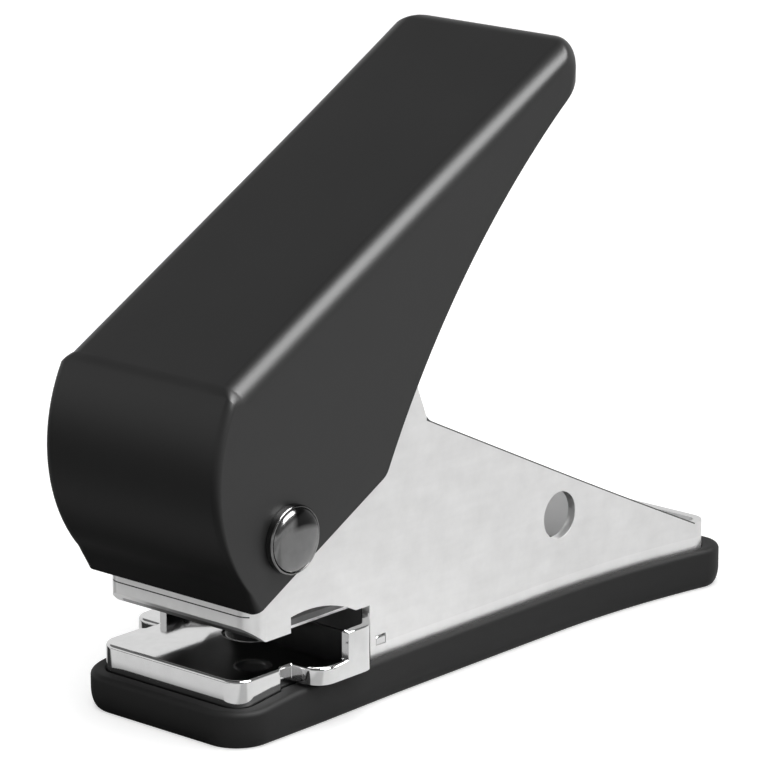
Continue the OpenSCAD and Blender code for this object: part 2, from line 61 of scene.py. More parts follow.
class Wire:  # a socket that can stand in a sum, in shader and geometry trees alike
    def __init__(self, tree, socket):
        self.tree = tree
        self.socket = socket

    def maths(self, operation, other=None, swap=False):
        sides = [self] if other is None else [other, self] if swap else [self, other]
        vector = any(isinstance(side, Wire) and side.socket.type == "VECTOR" for side in sides)
        kind = "ShaderNodeVectorMath" if vector else "ShaderNodeMath"
        return self.tree.node(kind, {"operation": operation}, dict(enumerate(sides)))

    def __add__(self, other):
        return self.maths("ADD", other)

    def __radd__(self, other):
        return self.maths("ADD", other)

    def __sub__(self, other):
        return self.maths("SUBTRACT", other)

    def __rsub__(self, other):
        return self.maths("SUBTRACT", other, True)

    def __mul__(self, other):
        return self.maths("MULTIPLY", other)

    def __rmul__(self, other):
        return self.maths("MULTIPLY", other)

    def __truediv__(self, other):
        return self.maths("DIVIDE", other)

    def __rtruediv__(self, other):
        return self.maths("DIVIDE", other, True)

    def __pow__(self, other):
        return self.maths("POWER", other)

    def __gt__(self, other):
        return self.maths("GREATER_THAN", other)

    def __lt__(self, other):
        return self.maths("LESS_THAN", other)

    def __mod__(self, other):
        return self.maths("MODULO", other)

    def __abs__(self):
        return self.maths("ABSOLUTE")

    def sine(self):
        return self.maths("SINE")

    def cosine(self):
        return self.maths("COSINE")

    def root(self):
        return self.maths("SQRT")

    def within(self, low=0.0, high=1.0):
        return self.maths("MAXIMUM", low).maths("MINIMUM", high)


class Tree:  # a node tree whose nodes are all made by one method
    def __init__(self, tree):
        self.tree = tree

    def node(self, kind, settings=(), sockets=(), out=0):
        made = self.tree.nodes.new(kind)
        for name, value in dict(settings).items():
            setattr(made, name, value)
        for name, value in dict(sockets).items():
            place = made.inputs[name]
            if isinstance(value, Wire):
                self.tree.links.new(value.socket, place)
            elif place.type == "VECTOR" and isinstance(value, (int, float)):
                place.default_value = (value, value, value)
            else:
                place.default_value = value
        if isinstance(out, list):
            return [Wire(self, made.outputs[name]) for name in out]
        return Wire(self, made.outputs[out]) if made.outputs else made

    def parts(self, vector):  # its X, Y and Z
        return self.node("ShaderNodeSeparateXYZ", sockets={0: vector}, out=[0, 1, 2])

    def facing(self):  # the way that the surface faces: across, along and up
        return self.parts(self.node("ShaderNodeTexCoord", out="Normal"))

    def noise(self, place, scale, detail, roughness=0.5):
        settings = {"noise_dimensions": "3D"}
        values = {"Vector": place, "Scale": scale, "Detail": detail, "Roughness": roughness}
        return self.node("ShaderNodeTexNoise", settings, values)

    def stretched(self, place, scale):
        return self.node("ShaderNodeMapping", sockets={"Vector": place, "Scale": scale})

    def bump(self, height, depth):
        sockets = {"Height": height, "Strength": 1.0, "Distance": depth}
        return self.node("ShaderNodeBump", sockets=sockets)

    def mixColour(self, share, low, high):
        settings = {"data_type": "RGBA", "blend_type": "MIX"}
        return self.node("ShaderNodeMix", settings, {0: share, 6: low, 7: high}, 2)


# Materials

def grey(level, warmth=0.0):
    return (level * (1 + warmth), level, level * (1 - warmth), 1.0)


def startMaterial(name):
    material = bpy.data.materials.new(name)
    material.use_nodes = True
    material.node_tree.nodes.clear()
    tree = Tree(material.node_tree)
    place = tree.node("ShaderNodeTexCoord", out="Object")
    return material, tree, place


def endMaterial(tree, height, depth, sockets):
    sockets = {**sockets, "Normal": tree.bump(height, depth)}
    shader = tree.node("ShaderNodeBsdfPrincipled", sockets=sockets)
    tree.node("ShaderNodeOutputMaterial", sockets={"Surface": shader})


# A noise here is its scale, its detail and, where it isn't a half, its roughness
paint = {
    "dark": grey(0.0075), "light": grey(0.0105), "cloud": (60, 4.0), "peel": (1500, 2.0),
    "peelDepth": 0.005 * mm, "rough": 0.45, "roughSpread": 0.06, "specular": 0.36,
    # painted shade: a near-black, dull copy of the paint for the lower front of the nose
    "paintedShadeColour": grey(0.003), "paintedShadeRough": 0.6, "paintedShadeSpecular": 0.04, "paintedShadeShare": 0.85,
    "paintedShadeFrom": 44 * mm, "paintedShadeTo": 24 * mm, "paintedShadeBehind": -10 * mm, "paintedShadeSoft": 2 * mm,
    "sideFacing": 0.9, "sideSoft": 0.4,
}


def blackPaint():  # satin, with painted shade low on the nose's front: a darker, duller copy of the paint is mixed in there
    material, tree, place = startMaterial("satinBlackPaint")
    cloud = tree.noise(place, *paint["cloud"])
    normal = tree.bump(tree.noise(place, *paint["peel"]), paint["peelDepth"])
    satin = tree.node("ShaderNodeBsdfPrincipled", sockets={
        "Base Color": tree.mixColour(cloud, paint["dark"], paint["light"]),
        "Roughness": paint["rough"] + paint["roughSpread"] * (cloud - 0.5),
        "Specular IOR Level": paint["specular"], "Normal": normal,
    })
    # the painted shade: a near-black, dull copy of the paint
    matt = tree.node("ShaderNodeBsdfPrincipled", sockets={
        "Base Color": paint["paintedShadeColour"], "Roughness": paint["paintedShadeRough"],
        "Specular IOR Level": paint["paintedShadeSpecular"], "Normal": normal,
    })
    y, z = tree.parts(place)[1:]
    acrossN = tree.facing()[0]
    # painted shade mask: off the sides, on the nose's front, stronger lower down
    offSide = ((paint["sideFacing"] - abs(acrossN)) / paint["sideSoft"]).within()
    onNose = ((paint["paintedShadeBehind"] - y) / paint["paintedShadeSoft"]).within()
    fall = ((paint["paintedShadeFrom"] - z) / (paint["paintedShadeFrom"] - paint["paintedShadeTo"])).within()
    share = offSide * onNose * fall * paint["paintedShadeShare"]
    seen = tree.node("ShaderNodeMixShader", sockets={0: share, 1: satin, 2: matt})
    tree.node("ShaderNodeOutputMaterial", sockets={"Surface": seen})
    return material


moulded = {
    "dark": grey(0.0065), "light": grey(0.009), "grain": (5200, 3.0, 0.6), "grainDepth": 0.006 * mm,
    "flow": (90, 4.0), "flowStretch": (1, 0.25, 1), "rough": 0.62, "roughSpread": 0.08,
    "specular": 0.20,
}


def blackPlastic():
    material, tree, place = startMaterial("mouldedBlackPlastic")
    grain = tree.noise(place, *moulded["grain"])
    flow = tree.noise(tree.stretched(place, moulded["flowStretch"]), *moulded["flow"])
    endMaterial(tree, grain, moulded["grainDepth"], {
        "Base Color": tree.mixColour(flow, moulded["dark"], moulded["light"]),
        "Roughness": moulded["rough"] + moulded["roughSpread"] * (flow - 0.5),
        "Specular IOR Level": moulded["specular"],
    })
    return material


metalCommon = {
    "cloudDetail": 5.0, "cloudRough": 0.62, "cloudHeight": 0.4, "lineDetail": 2.0,
    "lineHeight": 0.6, "leastRough": 0.02,
}


def metal(name, look, zones=None):
    common = metalCommon
    material, tree, place = startMaterial(name)
    cloud = tree.noise(place, look["cloudScale"], common["cloudDetail"], common["cloudRough"])
    lines = tree.noise(tree.stretched(place, look["grain"]), 1.0, common["lineDetail"])
    blotch = (cloud - 0.5) * look["cloudSpread"] + (lines - 0.5) * look["lineSpread"]
    colour = tree.mixColour((blotch + 0.5).within(), look["dark"], look["light"])
    metallic = 1.0
    if zones:
        colour, metallic = zones(tree, place, colour, look)
    rough = look["rough"] + look["roughSpread"] * (cloud - 0.5)
    endMaterial(tree, lines * common["lineHeight"] + cloud * common["cloudHeight"], look["depth"], {
        "Base Color": colour,
        "Roughness": rough.within(common["leastRough"], 1.0),
        "Metallic": metallic,
    })
    return material


platedLook = {
    "dark": grey(0.60, 0.004), "light": grey(0.74, 0.002), "cloudScale": 260, "cloudSpread": 1.1,
    "grain": (900, 140, 900), "lineSpread": 0.5, "depth": 0.004 * mm, "rough": 0.34,
    "roughSpread": 0.16, "metallic": 0.85, "wallFrom": 11.4 * mm, "rearFrom": 60 * mm,
    # the painted shadow line's height on the front band
    "sideFacing": 0.5, "bandFacing": 0.7, "bandFrom": -13.0 * mm, "shadowLineHeight": 16.2 * mm,
    "slopeFrom": (18.9 * mm, 34.8 * mm), "slopeTo": 71.6 * mm, "slope": 0.482,
    # colours for the painted dark lines, and the painted light on the inner faces
    "lineWidth": 0.17 * mm, "paintedDarkLineColour": grey(0.05), "paintedInsideLightColour": grey(0.95), "paintedInsideLightMetal": 0.0,
    # painted highlight: a lighter band low on the outer walls
    "lightBandTop": 7.3 * mm, "lightBandColour": grey(0.90), "lightBandShare": 0.18,
}


def sheetZones(tree, place, colour, look):  # painted light on the inner faces, a painted dark reflection along the top edge, a painted highlight band low on the walls, a painted shadow line across the band
    x, y, z = tree.parts(place)
    acrossN, alongN = tree.facing()[:2]
    outerWall = abs(x) > look["wallFrom"]
    onSide = abs(acrossN) > look["sideFacing"]
    # painted light: inner faces get a pale, less metallic colour, for light that doesn't reach inside
    rearInside = (alongN < -look["sideFacing"]) * (y > look["rearFrom"])
    inside = (x * acrossN < 0) * onSide + rearInside
    # painted dark reflection: a thin dark line along the walls' sloping top edge
    edgeY, edgeZ = look["slopeFrom"]
    depth = edgeZ - (y - edgeY) * look["slope"] - z
    edge = outerWall * (depth < look["lineWidth"]) * (y > edgeY) * (y < look["slopeTo"])
    # painted shadow: a thin dark line across the front band, under the lever's edge
    onBand = (alongN < -look["bandFacing"]) * (y < look["bandFrom"])
    shadowLine = onBand * (abs(z - look["shadowLineHeight"]) < look["lineWidth"] / 2)
    # painted highlight: a lighter band low on the walls' outer faces
    lightBand = outerWall * (x * acrossN > 0) * onSide * (z < look["lightBandTop"])
    lightBanded = tree.mixColour(lightBand * look["lightBandShare"], colour, look["lightBandColour"])
    pale = tree.mixColour(inside, lightBanded, look["paintedInsideLightColour"])
    metallic = look["metallic"] + (look["paintedInsideLightMetal"] - look["metallic"]) * inside
    return tree.mixColour((edge + shadowLine).within(), pale, look["paintedDarkLineColour"]), metallic


chromeLook = {
    "dark": grey(0.54), "light": grey(0.66), "cloudScale": 420, "cloudSpread": 0.8,
    "grain": (1500, 700, 1500), "lineSpread": 0.3, "depth": 0.0012 * mm, "rough": 0.07,
    "roughSpread": 0.04,
}
toolLook = {
    "dark": grey(0.36), "light": grey(0.52), "cloudScale": 500, "cloudSpread": 0.7,
    "grain": (300, 300, 9000), "lineSpread": 1.2, "depth": 0.002 * mm, "rough": 0.24,
    "roughSpread": 0.10,
}
wireLook = {
    "dark": grey(0.16), "light": grey(0.30), "cloudScale": 700, "cloudSpread": 1.0,
    "grain": (2500, 2500, 2500), "lineSpread": 0.5, "depth": 0.002 * mm, "rough": 0.30,
    "roughSpread": 0.12,
}
bluedLook = {
    "dark": grey(0.055), "light": grey(0.085), "cloudScale": 300, "cloudSpread": 1.0,
    "grain": (900, 900, 900), "lineSpread": 0.5, "depth": 0.002 * mm, "rough": 0.38,
    "roughSpread": 0.12, "sideFacing": 0.5, "chinFacing": (-0.80, -0.15), "lineHeight": 0.4 * mm,
    # painted highlight and painted light colours for the plate's edge line, top and sides, and chin
    "paintedHighlightColour": grey(0.85), "paintedLitTopColour": grey(0.16), "paintedLitChinColour": grey(0.26),
}


def plateEdges(tree, place, colour, look):  # painted light: a painted highlight line along the lower cut edge, a painted lighter top and sides, and a painted lighter chin
    z = tree.parts(place)[2]
    acrossN, alongN, upN = tree.facing()
    onSide = abs(acrossN) > look["sideFacing"]
    # painted highlight line low on the side faces
    line = (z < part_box("jaw_plate")[0].z + look["lineHeight"]) * onSide
    steep, gentle = look["chinFacing"]
    chin = (alongN > steep) * (alongN < gentle) * (upN < 0)
    onTop = ((upN > look["sideFacing"]) + onSide).within()
    litTop = tree.mixColour(onTop, colour, look["paintedLitTopColour"])
    litChin = tree.mixColour(chin, litTop, look["paintedLitChinColour"])
    return tree.mixColour(line, litChin, look["paintedHighlightColour"]), 1.0


rivetLook = {
    "dark": grey(0.13), "light": grey(0.20), "cloudScale": 600, "cloudSpread": 0.7,
    "grain": (900, 900, 900), "lineSpread": 0.4, "depth": 0.0012 * mm, "rough": 0.19,
    # painted dark reflection on the dome's upper back
    "roughSpread": 0.06, "shadeColour": grey(0.015), "shadeUp": 0.10, "shadeUpSoft": 0.08,
    "shadeAlong": -0.14, "shadeAlongSoft": 0.10,
}


def domeShade(tree, place, colour, look):  # painted dark reflection of the ceiling: darker up and back on the dome
    alongN, upN = tree.facing()[1:]
    above = ((upN - look["shadeUp"]) / look["shadeUpSoft"]).within()
    behind = ((alongN - look["shadeAlong"]) / look["shadeAlongSoft"]).within()
    return tree.mixColour(above * behind, colour, look["shadeColour"]), 1.0


nylonLook = {
    "dark": grey(0.66, 0.03), "light": grey(0.78, 0.02), "cloud": (500, 4.0), "depth": 0.004 * mm,
    "rough": 0.42, "roughSpread": 0.1, "scatter": 0.15, "scatterDepth": 0.5 * mm,
}


def nylon():
    material, tree, place = startMaterial("naturalNylon")
    cloud = tree.noise(place, *nylonLook["cloud"])
    endMaterial(tree, cloud, nylonLook["depth"], {
        "Base Color": tree.mixColour(cloud, nylonLook["dark"], nylonLook["light"]),
        "Roughness": nylonLook["rough"] + nylonLook["roughSpread"] * (cloud - 0.5),
        "Subsurface Weight": nylonLook["scatter"],
        "Subsurface Scale": nylonLook["scatterDepth"],
    })
    return material


materials = {
    "black_paint": blackPaint(),
    "black_plastic": blackPlastic(),
    "plated_sheet": metal("brightPlatedSheet", platedLook, sheetZones),
    "chrome_sheet": metal("polishedChrome", chromeLook),
    "tool_steel": metal("groundToolSteel", toolLook),
    "spring_wire": metal("oiledSpringWire", wireLook),
    "blued_steel": metal("bluedSteel", bluedLook, plateEdges),
    "rivet_steel": metal("polishedRivet", rivetLook, domeShade),
    "washer_nylon": nylon(),
}
slotOf = {part["node"]: part["material_slot"] for part in frame["record"]["subparts"]}
bodyOf = {
    node: body
    for body, members in frame["record"]["behaviour"]["bodies"].items()
    for node in members
}
print("materials made")


# Pieces: common steps

def added(name, data):  # a new object in the scene
    thing = bpy.data.objects.new(name, data)
    bpy.context.scene.collection.objects.link(thing)
    return thing


def dress(mesh, node):
    piece = added(node + "_dressed", mesh)
    mesh.materials.clear()
    mesh.materials.append(materials[slotOf[node]])
    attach(piece, bodyOf[node])
    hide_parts(node)
    return piece


def finished(holder):  # the mesh that its live modifiers make, without the holder
    view = bpy.context.evaluated_depsgraph_get()
    made = bpy.data.meshes.new_from_object(holder.evaluated_get(view), depsgraph=view)
    bpy.data.objects.remove(holder)
    return made


edging = {"angle": 32, "steps": 2, "foldSteps": 4, "flatWeight": 100}


def rounded(mesh, width, angle=edging["angle"], foldWidth=0):
    holder = added("holder", mesh)
    mesh.shade_smooth()
    folds = [("WEIGHT", foldWidth, edging["foldSteps"])] if foldWidth else []
    for method, size, steps in folds + [("ANGLE", width, edging["steps"])]:
        bevel = holder.modifiers.new("edges", "BEVEL")
        bevel.width = size
        bevel.segments = steps
        bevel.limit_method = method
        bevel.angle_limit = math.radians(angle)
        bevel.harden_normals = True
    flat = holder.modifiers.new("flats", "WEIGHTED_NORMAL")
    flat.weight = edging["flatWeight"]
    flat.keep_sharp = True
    return finished(holder)


welding = {"gap": 0.002 * mm, "flatAngle": 0.4}


def bareMesh(node):  # a welded copy of a CAD node's mesh, with its flat faces whole
    mesh = frame["nodes"][node].data.copy()
    work = bmesh.new()
    work.from_mesh(mesh)
    bmesh.ops.remove_doubles(work, verts=work.verts, dist=welding["gap"])
    flat = math.radians(welding["flatAngle"])
    bmesh.ops.dissolve_limit(work, angle_limit=flat, verts=work.verts, edges=work.edges)
    work.to_mesh(mesh)
    work.free()
    return mesh


edgeWidths = {
    "frame_body": 0.16 * mm, "jaw_plate": 0.15 * mm, "flight_stop": 0.15 * mm,
    "guide_bush": 0.15 * mm, "die_bush": 0.08 * mm, "spring_seat": 0.08 * mm,
    "spring_collar": 0.12 * mm, "punch_pin": 0.10 * mm, "press_yoke": 0.16 * mm,
    "press_pin": 0.20 * mm, "press_pin_clips": 0.12 * mm, "pivot_spacer": 0.10 * mm,
    "pivot_washers": 0.05 * mm,
}
for node, width in edgeWidths.items():
    dress(rounded(bareMesh(node), width), node)
print("sheet and turned parts dressed")

# Lower jaw: its top is folded down all round, and the ears' tops are rolled
lowerJaw = {
    "fold": 0.55 * mm, "edge": 0.12 * mm, "top": 8.4 * mm, "slack": 0.05 * mm,
    "leastTurn": 1.0, "earShare": 0.6,
}


def jawMesh():
    mesh = bareMesh("die_channel")
    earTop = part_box("die_channel")[1].z
    work = bmesh.new()
    work.from_mesh(mesh)
    weight = work.edges.layers.float.new("bevel_weight_edge")

    def lies(edge, height):
        return all(abs(corner.co.z - height) < lowerJaw["slack"] for corner in edge.verts)

    for edge in work.edges:
        outer = len(edge.link_faces) == 2 and edge.is_convex
        if not outer or edge.calc_face_angle(0) <= lowerJaw["leastTurn"]:
            continue
        if lies(edge, lowerJaw["top"]):
            edge[weight] = 1.0
        elif lies(edge, earTop):
            edge[weight] = lowerJaw["earShare"]
    work.to_mesh(mesh)
    work.free()
    return rounded(mesh, lowerJaw["edge"], foldWidth=lowerJaw["fold"])


dress(jawMesh(), "die_channel")
print("lower jaw dressed")


# Geometry trees

class ShapeTree(Tree):  # a geometry tree with named sizes
    def __init__(self, name):
        super().__init__(bpy.data.node_groups.new(name, "GeometryNodeTree"))
        self.tree.interface.new_socket("Geometry", in_out="OUTPUT", socket_type="NodeSocketGeometry")
        self.start = self.tree.nodes.new("NodeGroupInput")
        self.values = {}

    def size(self, name, value, kind="Float"):
        socketType = "NodeSocket" + kind
        place = self.tree.interface.new_socket(name, in_out="INPUT", socket_type=socketType)
        self.values[place.identifier] = value
        return Wire(self, self.start.outputs[name])

    def sizes(self, table):
        return {
            name: self.size(name, value, "Int" if isinstance(value, int) else "Float")
            for name, value in table.items()
        }

    def place(self, x, y, z):
        return self.node("ShaderNodeCombineXYZ", sockets={0: x, 1: y, 2: z})

    def shaped(self, mesh, position):
        return self.node("GeometryNodeSetPosition", sockets={"Geometry": mesh, "Position": position})

    def turned(self, shape, angles, to=(0, 0, 0)):
        turn = self.node("FunctionNodeEulerToRotation", sockets={0: angles})
        sockets = {"Geometry": shape, "Translation": to, "Rotation": turn}
        return self.node("GeometryNodeTransform", sockets=sockets)

    def grid(self, rows, columns):  # a mesh with its row and column numbers as fields
        sockets = {"Size X": 1.0, "Size Y": 1.0, "Vertices X": rows + 1, "Vertices Y": columns + 1}
        mesh = self.node("GeometryNodeMeshGrid", sockets=sockets)
        x, y = self.parts(self.node("GeometryNodeInputPosition"))[:2]
        row = ((x + 0.5) * rows).maths("ROUND")
        column = ((y + 0.5) * columns).maths("ROUND")
        return mesh, row, column

    def meshOf(self, shape, material, weld=0.001 * mm):
        welded = self.node("GeometryNodeMergeByDistance", sockets={"Geometry": shape, "Distance": weld})
        real = self.node("GeometryNodeRealizeInstances", sockets={"Geometry": welded})
        dressed = self.node("GeometryNodeSetMaterial", sockets={"Geometry": real, "Material": material})
        self.node("NodeGroupOutput", sockets={0: dressed})
        holder = added("holder", bpy.data.meshes.new("holder"))
        modifier = holder.modifiers.new("shape", "NODES")
        modifier.node_group = self.tree
        for identifier, value in self.values.items():
            modifier[identifier] = value
        return outward(finished(holder))


def outward(mesh):
    work = bmesh.new()
    work.from_mesh(mesh)
    bmesh.ops.recalc_face_normals(work, faces=work.faces)
    if work.calc_volume(signed=True) < 0:
        bmesh.ops.reverse_faces(work, faces=work.faces)
    work.to_mesh(mesh)
    work.free()
    return mesh


# Lever: a pressed sheet, drawn from the pivot with Y along its top and Z square to it
lever = {
    "width": 29.6, "wall": 1.2, "tilt": 28.0, "top": 22.3, "length": 74.88, "tailSpread": 0.4,
    "skirtDrop": 4.8, "noseRadius": 21.51, "noseReach": 9.61, "noseRise": 3.6, "noseLip": 4.0,
    "noseEdge": 1.25, "foldRadius": 3.0, "edgeRadius": 2.8, "tailRadius": 7.0,
    "skirtRadius": 124.3, "skirtReach": 15.0, "skirtTail": 4.9, "cornerRadius": 2.5,
    "footShare": 1.2, "footRunShare": 1.5, "topShare": 0.15, "bendShare": 0.45,
    "lipRows": 4, "noseRows": 22, "foldRows": 16, "topRows": 150, "tailRows": 14, "endRows": 4,
    "sideColumns": 45,
    "hole": 2.25, "holeSides": 64, "drillLength": 60, "rim": 0.14, "rimAngle": 50,
}


def leverSizes():
    s = lever
    noseY = s["noseRadius"] - s["noseReach"]
    foldReach = s["noseRadius"] - s["foldRadius"]
    foldAngle = math.pi / 2 + math.acos((s["top"] - s["foldRadius"] - s["noseRise"]) / foldReach)
    foldY = noseY + foldReach * math.cos(foldAngle)
    skirtY = s["length"] + s["skirtReach"]
    skirtZ = s["top"] - s["skirtTail"] - math.sqrt(s["skirtRadius"] ** 2 - s["skirtReach"] ** 2)
    cornerZ = s["cornerRadius"] - s["skirtDrop"]
    reach = math.sqrt((s["skirtRadius"] + s["cornerRadius"]) ** 2 - (cornerZ - skirtZ) ** 2)
    cornerY = skirtY - reach
    turn = math.atan2(cornerZ - skirtZ, cornerY - skirtY)
    lipTurn = math.pi + math.asin((s["skirtDrop"] + s["noseRise"] - s["noseLip"]) / s["noseRadius"])
    lipY = noseY + s["noseRadius"] * math.cos(lipTurn)
    lengths = {
        "Half width": s["width"] / 2, "Wall": s["wall"], "Skirt drop": s["skirtDrop"],
        "Lip Y": lipY, "Nose edge": s["noseEdge"],
        "Nose radius": s["noseRadius"], "Nose Y": noseY, "Nose Z": s["noseRise"],
        "Fold radius": s["foldRadius"], "Fold Y": foldY, "Edge radius": s["edgeRadius"],
        "Tail spread": s["tailSpread"], "Tail radius": s["tailRadius"],
        "Tail Y": s["length"] - s["edgeRadius"], "Tail drop": s["skirtTail"] - s["edgeRadius"],
        "Skirt radius": s["skirtRadius"], "Skirt Y": skirtY, "Skirt Z": skirtZ,
        "Corner radius": s["cornerRadius"], "Corner Y": cornerY, "Corner Z": cornerZ,
        "Corner end": cornerY - s["cornerRadius"] * math.cos(turn),
        "Nose foot": lipY + s["noseEdge"] * s["footShare"],
        "Tail foot": s["length"] - s["tailRadius"] * s["footShare"],
        "Tail foot run": s["wall"] * s["footRunShare"],
    }
    counts = {
        "Lip rows": s["lipRows"], "Nose rows": s["noseRows"], "Fold rows": s["foldRows"],
        "Top rows": s["topRows"], "Tail rows": s["tailRows"], "End rows": s["endRows"],
        "Side columns": s["sideColumns"],
    }
    angles = {"Fold angle": foldAngle, "Lip angle": lipTurn}
    return {**{name: value * mm for name, value in lengths.items()}, **counts, **angles}


def leverMesh():
    tree = ShapeTree("pressedLever")
    v = tree.sizes(leverSizes())
    half = v["Side columns"]
    frontRows = v["Lip rows"] + v["Nose rows"] + v["Fold rows"]
    backRows = v["Tail rows"] + v["End rows"]
    rows = frontRows + v["Top rows"] + backRows + 2
    mesh, row, column = tree.grid(rows, half * 2 + 2)
    # round the section: skin from one foot to the other, then the lining back again
    column = column % (half * 2 + 2)
    inside = column > half + 0.5
    across = (1 - inside) * (column * 2 / half - 1) + inside * (1 - (column - half - 1) * 2 / half)
    cap = (row < 0.5) + (row > rows - 0.5)
    inset = v["Wall"] * (inside * (1 - cap) + cap * 0.5)
    # how far each stretch of the middle line has been run through, from 0 to 1
    done = row - 1
    runs = {}
    for name in ("Lip", "Nose", "Fold", "Top", "Tail", "End"):
        runs[name] = (done / v[name + " rows"]).within()
        done = done - v[name + " rows"]
    quarter = math.pi / 2
    noseR = v["Nose radius"] - inset
    foldR = v["Fold radius"] - inset
    tailR = v["Edge radius"] - inset
    noseTurn = v["Lip angle"] + (v["Fold angle"] - v["Lip angle"]) * runs["Nose"]
    foldTurn = v["Fold angle"] + (quarter - v["Fold angle"]) * runs["Fold"]
    tailTurn = quarter - quarter * runs["Tail"]
    lipLeft = 1 - runs["Lip"]
    alongY = (v["Nose Y"] + noseR * noseTurn.cosine()
              + (v["Lip Y"] + inset - v["Nose Y"] - noseR * v["Lip angle"].cosine()) * lipLeft
              + foldR * (foldTurn.cosine() - v["Fold angle"].cosine())
              + (v["Tail Y"] - v["Fold Y"]) * runs["Top"] + tailR * tailTurn.cosine())
    alongZ = (v["Nose Z"] + noseR * noseTurn.sine()
              - (v["Nose Z"] + noseR * v["Lip angle"].sine() + v["Skirt drop"]) * lipLeft
              + foldR * (foldTurn.sine() - v["Fold angle"].sine())
              + tailR * (tailTurn.sine() - 1) - v["Tail drop"] * runs["End"])
    # the foot of each section, on the skirts' lower edge
    frontRun = ((row - 1) / frontRows).within()
    tailRun = ((row - 1 - frontRows - v["Top rows"]) / backRows).within()
    footY = (v["Nose foot"] + (v["Fold Y"] - v["Nose foot"]) * frontRun
             + (v["Tail foot"] - v["Tail foot run"] - v["Fold Y"]) * runs["Top"]
             + v["Tail foot run"] * tailRun)
    onCorner = footY.within(v["Corner Y"], v["Corner end"]) - v["Corner Y"]
    cornerZ = v["Corner Z"] - (v["Corner radius"] ** 2 - onCorner ** 2).root()
    skirtZ = v["Skirt Z"] + (v["Skirt radius"] ** 2 - (footY - v["Skirt Y"]) ** 2).root()
    behind = footY > v["Corner end"]
    footZ = cornerZ * (1 - behind) + skirtZ * behind
    # down the side: half the top, the rounded long edge, then the skirt
    topEnd, bendEnd = lever["topShare"], lever["topShare"] + lever["bendShare"]
    legY = footY - alongY
    legZ = footZ - alongZ
    leg = (legY ** 2 + legZ ** 2).root()
    bend = (v["Nose edge"] + (v["Edge radius"] - v["Nose edge"]) * runs["Fold"]
            + (v["Tail radius"] - v["Edge radius"]) * tailRun - inset)
    out = abs(across)
    bendTurn = quarter * ((out - topEnd) / (bendEnd - topEnd)).within()
    spread = v["Tail spread"] * (footY.maths("MAXIMUM", 0) / v["Tail Y"]) ** 2
    flat = v["Half width"] + spread - inset - bend
    side = flat * (out / topEnd).within() + bend * bendTurn.sine()
    skirt = ((out - bendEnd) / (1 - bendEnd)).within()
    depth = bend * (1 - bendTurn.cosine()) + (leg - bend) * skirt
    sign = (across > 0) * 2 - 1
    spot = tree.place(side * sign, alongY + legY / leg * depth, alongZ + legZ / leg * depth)
    tilt = tree.place(tree.size("Tilt", math.radians(lever["tilt"])), 0, 0)
    placed = tree.turned(tree.shaped(mesh, spot), tilt, tree.size("Pivot", hingePlace, "Vector"))
    return tree.meshOf(placed, materials["black_paint"])


def drilled(mesh):  # the rivet's hole through both sides
    work = bmesh.new()
    turn = Matrix.Translation(hingePlace) @ Matrix.Rotation(math.pi / 2, 4, "Y")
    radius = lever["hole"] * mm
    bmesh.ops.create_cone(work, cap_ends=True, segments=lever["holeSides"], radius1=radius,
                          radius2=radius, depth=lever["drillLength"] * mm, matrix=turn)
    drill = added("drill", bpy.data.meshes.new("drill"))
    work.to_mesh(drill.data)
    work.free()
    holder = added("holder", mesh)
    cut = holder.modifiers.new("hole", "BOOLEAN")
    cut.object = drill
    cut.solver = "EXACT"
    made = finished(holder)
    bpy.data.objects.remove(drill)
    return made


dress(rounded(drilled(leverMesh()), lever["rim"] * mm, lever["rimAngle"]), "lever_shell")
print("lever made")

# Return spring: one wire along a coil, with half a turn flat at each end
spring = {
    "coil": 3.0, "wire": 0.3, "curls": 4, "flatTurn": 0.5, "steps": 48, "sides": 14,
    "endRound": 0.05, "endAngle": 60,
}


def springMesh():
    low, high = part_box("return_spring")
    tree = ShapeTree("returnSpring")
    v = tree.sizes({
        "Coil radius": spring["coil"] * mm, "Wire radius": spring["wire"] * mm,
        "Curls": spring["curls"], "Flat turn": spring["flatTurn"],
        "Steps": spring["steps"], "Sides": spring["sides"],
        "Foot": low.z + spring["wire"] * mm, "Head": high.z - spring["wire"] * mm,
    })
    turns = v["Curls"] + v["Flat turn"] * 2
    line = tree.node("GeometryNodeMeshLine", sockets={"Count": v["Steps"] * turns + 1})
    turn = tree.node("GeometryNodeInputIndex") / v["Steps"]
    angle = turn * math.tau
    rise = ((turn - v["Flat turn"]) / v["Curls"]).within()
    height = v["Foot"] + (v["Head"] - v["Foot"]) * rise
    spot = tree.place(v["Coil radius"] * angle.cosine(), v["Coil radius"] * angle.sine(), height)
    path = tree.node("GeometryNodeMeshToCurve", sockets={0: tree.shaped(line, spot)})
    ring = tree.node("GeometryNodeCurvePrimitiveCircle",
                     sockets={"Resolution": v["Sides"], "Radius": v["Wire radius"]})
    wire = tree.node("GeometryNodeCurveToMesh",
                     sockets={"Curve": path, "Profile Curve": ring, "Fill Caps": True})
    return tree.meshOf(wire, materials["spring_wire"])


def pressSpring(piece):  # gives the spring piece a mesh of its own
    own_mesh(piece)


coil = rounded(springMesh(), spring["endRound"] * mm, spring["endAngle"])
pressSpring(dress(coil, "return_spring"))
print("spring wound")

# Pivot: a rivet with a rimmed dome at each end
rivet = {
    "shank": 2.2, "head": 4.4, "rim": 1.0, "dome": 1.08, "groove": 0.1, "edge": 0.25,
    "clearance": 0.05, "rows": 60, "sides": 96, "sharpAngle": 50,
}
rivetParts = {"shank": 1, "seat": 1, "rim": 1, "edge": 2, "groove": 1, "dome": 6}  # shares of the rows


